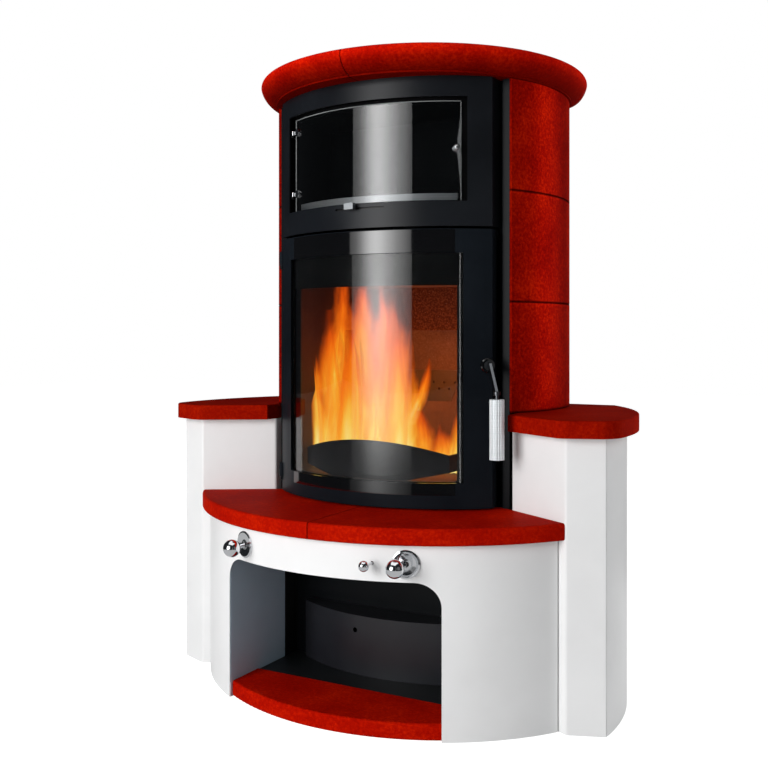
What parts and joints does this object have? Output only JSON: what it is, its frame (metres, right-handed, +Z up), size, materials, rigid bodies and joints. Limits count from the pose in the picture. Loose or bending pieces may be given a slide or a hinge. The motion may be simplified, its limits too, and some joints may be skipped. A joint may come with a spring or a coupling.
{
  "type": "tiled_wood_stove",
  "caption": "Tall wood stove in a red ceramic drum with a curved glass door, a baking compartment, a white bench with a log store, and pillars against a wall.",
  "frame": {"origin": "centre of the overall box at floor level", "axes": "X to the right seen from the front, Y to the back (wall side), Z up; the front faces -Y"},
  "size_m": [1.3752, 0.862, 1.72],
  "materials": {
    "red_ceramic": "satin",
    "white_sheet": "satin",
    "black_steel": "satin",
    "grey_steel": "satin",
    "gloss_black": "gloss",
    "bright_chrome": "polished",
    "brushed": "brushed",
    "clear_glass": "gloss",
    "fireclay": "matte",
    "cast_grate": "matte",
    "seal_rope": "matte"
  },
  "bodies": {
    "stove": {"air_box": "black_steel", "air_plate": "black_steel", "baffle": "fireclay", "bake_box": "black_steel", "bake_tray": "brushed", "bench_frame": "black_steel", "bench_panel": "white_sheet", "body_shell": "black_steel", "firebox_shell": "black_steel", "floor_slab": "red_ceramic", "flue_collar": "black_steel", "front_frame": "black_steel", "front_posts": "black_steel", "grate": "cast_grate", "left_bench_slab": "red_ceramic", "left_cap": "red_ceramic", "left_cornice": "red_ceramic", "left_pillar_front": "white_sheet", "left_pillar_side": "white_sheet", "left_tile_1": "red_ceramic", "left_tile_2": "red_ceramic", "left_tile_3": "red_ceramic", "lining_back": "fireclay", "lining_floor": "fireclay", "lining_sides": "fireclay", "log_retainer": "grey_steel", "pillar_frames": "black_steel", "rear_panel": "black_steel", "right_bench_slab": "red_ceramic", "right_cap": "red_ceramic", "right_cornice": "red_ceramic", "right_pillar_front": "white_sheet", "right_pillar_side": "white_sheet", "right_tile_1": "red_ceramic", "right_tile_2": "red_ceramic", "right_tile_3": "red_ceramic", "rosettes": "bright_chrome", "stand": "black_steel", "store_cover": "grey_steel", "store_floor": "black_steel", "store_jambs": "grey_steel", "store_shell": "black_steel", "top_lid": "black_steel", "upper_front_plate": "black_steel"},
    "door": {"door_frame": "black_steel", "door_bars": "gloss_black", "door_glass": "clear_glass", "glass_clamp": "black_steel", "door_seal": "seal_rope"},
    "handle": {"handle_lever": "bright_chrome", "handle_grip": "brushed"},
    "bake_door": {"bake_glass": "clear_glass", "bake_fittings": "bright_chrome"},
    "vent_slider": {"vent_slider": "black_steel"},
    "left_air": {"left_air_knob": "bright_chrome", "left_air_rod": "brushed"},
    "right_air": {"right_air_knob": "bright_chrome", "right_air_rod": "brushed"},
    "small_air": {"small_air_knob": "bright_chrome"},
    "ash_pan": {"ash_pan": "black_steel"}
  },
  "joints": [
    {"name": "door_hinge", "type": "hinge", "parent": "stove", "child": "door", "pos_m": [-0.338, -0.038, 0.9], "axis": [0, 0, -1], "range_deg": [0, 100]},
    {"name": "handle_turn", "type": "hinge", "parent": "door", "child": "handle", "pos_m": [0.322, -0.05158, 0.896], "axis": [-0.6479, 0.7617, 0], "range_deg": [0, 60]},
    {"name": "bake_door_hinge", "type": "hinge", "parent": "stove", "child": "bake_door", "pos_m": [-0.268, -0.08193, 1.46], "axis": [0, 0, -1], "range_deg": [0, 100]},
    {"name": "vent_slide", "type": "hinge", "parent": "stove", "child": "vent_slider", "pos_m": [0, 0.327, 1.314], "axis": [0, 0, 1], "range_deg": [-5, 9]},
    {"name": "left_air_slide", "type": "slide", "parent": "stove", "child": "left_air", "axis": [0, -1, 0], "range_m": [0, 0.04]},
    {"name": "right_air_slide", "type": "slide", "parent": "stove", "child": "right_air", "axis": [0, -1, 0], "range_m": [0, 0.04]},
    {"name": "small_air_slide", "type": "slide", "parent": "stove", "child": "small_air", "axis": [0, -1, 0], "range_m": [0, 0.03]},
    {"name": "ash_pan_slide", "type": "slide", "parent": "stove", "child": "ash_pan", "axis": [0, -1, 0], "range_m": [0, 0.036]}
  ]
}
